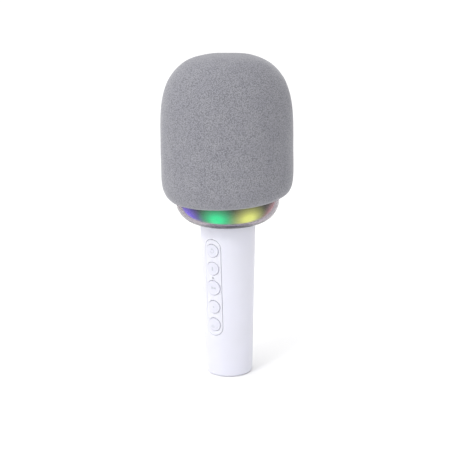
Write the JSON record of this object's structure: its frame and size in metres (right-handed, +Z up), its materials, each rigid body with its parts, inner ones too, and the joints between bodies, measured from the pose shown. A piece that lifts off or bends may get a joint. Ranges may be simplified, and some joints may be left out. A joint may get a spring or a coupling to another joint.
{
  "type": "karaoke microphone",
  "caption": "Handheld toy microphone with a foam-covered head, a lit ring under the head, a built-in loudspeaker and push buttons down the handle.",
  "frame": {"origin": "centre of the handle's flat end, on the surface it stands on", "axes": "+Z up the handle to the foam head; the buttons face -Y; +X to the right when facing the buttons"},
  "size_m": [0.0848, 0.0848, 0.21],
  "materials": {
    "windscreen_foam": "soft open-cell foam",
    "handle_shell": "satin white moulding",
    "keypad_panel": "satin white moulding",
    "button_plastic": "satin white moulding",
    "plunger_plastic": "black moulding",
    "switch_plastic": "black moulding with a steel cover",
    "light_pipe": "clear moulding",
    "cap_plastic": "satin white moulding",
    "screw_steel": "zinc plated",
    "frame_plastic": "black moulding",
    "board_laminate": "green solder mask",
    "chip_epoxy": "black epoxy",
    "capacitor_can": "bright can",
    "socket_nylon": "natural nylon",
    "led_body": "white package",
    "battery_sleeve": "shrink sleeve",
    "nickel_strip": "nickel strip",
    "port_steel": "stamped shell",
    "brass_pin": "gold flashed",
    "hub_plastic": "white moulding",
    "clear_acrylic": "polished clear moulding",
    "milky_diffuser": "milky moulding",
    "basket_steel": "black coated steel",
    "terminal_laminate": "brown laminate",
    "plated_steel": "zinc plated",
    "magnet_ferrite": "dark ferrite",
    "former_aluminium": "thin former",
    "coil_wire": "enamelled copper",
    "cone_paper": "pressed paper",
    "dust_cap_paper": "pressed paper",
    "surround_rubber": "soft rubber",
    "spider_cloth": "resin-dipped cloth",
    "grille_trim": "black coated steel",
    "grille_wire": "black coated wire mesh",
    "boot_rubber": "soft rubber",
    "capsule_aluminium": "turned can",
    "capsule_felt": "black felt",
    "lead_insulation": "flexible insulation"
  },
  "bodies": {
    "microphone": {"handle_tube": "handle_shell", "keypad_strip": "keypad_panel", "switch_bodies": "switch_plastic", "status_light_pipe": "light_pipe", "end_cap": "cap_plastic", "chassis_screws": "screw_steel", "chassis": "frame_plastic", "main_board": "board_laminate", "board_screws": "screw_steel", "board_chips": "chip_epoxy", "board_capacitors": "capacitor_can", "board_sockets": "socket_nylon", "status_led": "led_body", "battery_cell": "battery_sleeve", "battery_tabs": "nickel_strip", "port_board": "board_laminate", "usb_socket": "port_steel", "card_slot": "port_steel", "link_pins": "brass_pin", "head_hub": "hub_plastic", "light_bowl": "clear_acrylic", "light_diffuser": "milky_diffuser", "led_board": "board_laminate", "led_chips": "led_body", "speaker_chamber": "hub_plastic", "chamber_screws": "screw_steel", "speaker_frame": "basket_steel", "speaker_terminals": "terminal_laminate", "speaker_yoke": "plated_steel", "speaker_magnet": "magnet_ferrite", "speaker_top_plate": "plated_steel", "speaker_surround": "surround_rubber", "speaker_spider": "spider_cloth", "speaker_screws": "screw_steel", "grille_collar": "grille_trim", "grille_band": "grille_trim", "grille_side": "grille_wire", "grille_crown": "grille_wire", "mic_bridge": "frame_plastic", "mic_boot": "boot_rubber", "mic_capsule": "capsule_aluminium", "mic_felt": "capsule_felt", "mic_leads": "lead_insulation", "speaker_leads": "lead_insulation", "led_leads": "lead_insulation"},
    "windscreen": {"foam_windscreen": "windscreen_foam"},
    "cone_assembly": {"speaker_cone": "cone_paper", "dust_cap": "dust_cap_paper", "voice_coil": "coil_wire", "coil_former": "former_aluminium"},
    "power_key": {"power_button": "button_plastic", "power_plunger": "plunger_plastic"},
    "volume_up_key": {"volume_up_button": "button_plastic", "volume_up_plunger": "plunger_plastic"},
    "play_key": {"play_button": "button_plastic", "play_plunger": "plunger_plastic"},
    "volume_down_key": {"volume_down_button": "button_plastic", "volume_down_plunger": "plunger_plastic"},
    "echo_key": {"echo_button": "button_plastic", "echo_plunger": "plunger_plastic"}
  },
  "joints": [
    {"name": "windscreen_pull", "type": "slide", "parent": "microphone", "child": "windscreen", "axis": [0, 0, 1], "range_m": [0, 0.09]},
    {"name": "cone_stroke", "type": "slide", "parent": "microphone", "child": "cone_assembly", "axis": [0, 0, 1], "range_m": [-0.001, 0.001], "stiffness_N_per_m": 1000, "deforming": ["speaker_surround", "speaker_spider"]},
    {"name": "power_press", "type": "slide", "parent": "microphone", "child": "power_key", "axis": [0, 1, 0], "range_m": [0, 0.0004], "stiffness_N_per_m": 500, "springref_m": -0.0004},
    {"name": "volume_up_press", "type": "slide", "parent": "microphone", "child": "volume_up_key", "axis": [0, 1, 0], "range_m": [0, 0.0004], "stiffness_N_per_m": 500, "springref_m": -0.0004},
    {"name": "play_press", "type": "slide", "parent": "microphone", "child": "play_key", "axis": [0, 1, 0], "range_m": [0, 0.0004], "stiffness_N_per_m": 500, "springref_m": -0.0004},
    {"name": "volume_down_press", "type": "slide", "parent": "microphone", "child": "volume_down_key", "axis": [0, 1, 0], "range_m": [0, 0.0004], "stiffness_N_per_m": 500, "springref_m": -0.0004},
    {"name": "echo_press", "type": "slide", "parent": "microphone", "child": "echo_key", "axis": [0, 1, 0], "range_m": [0, 0.0004], "stiffness_N_per_m": 500, "springref_m": -0.0004}
  ]
}
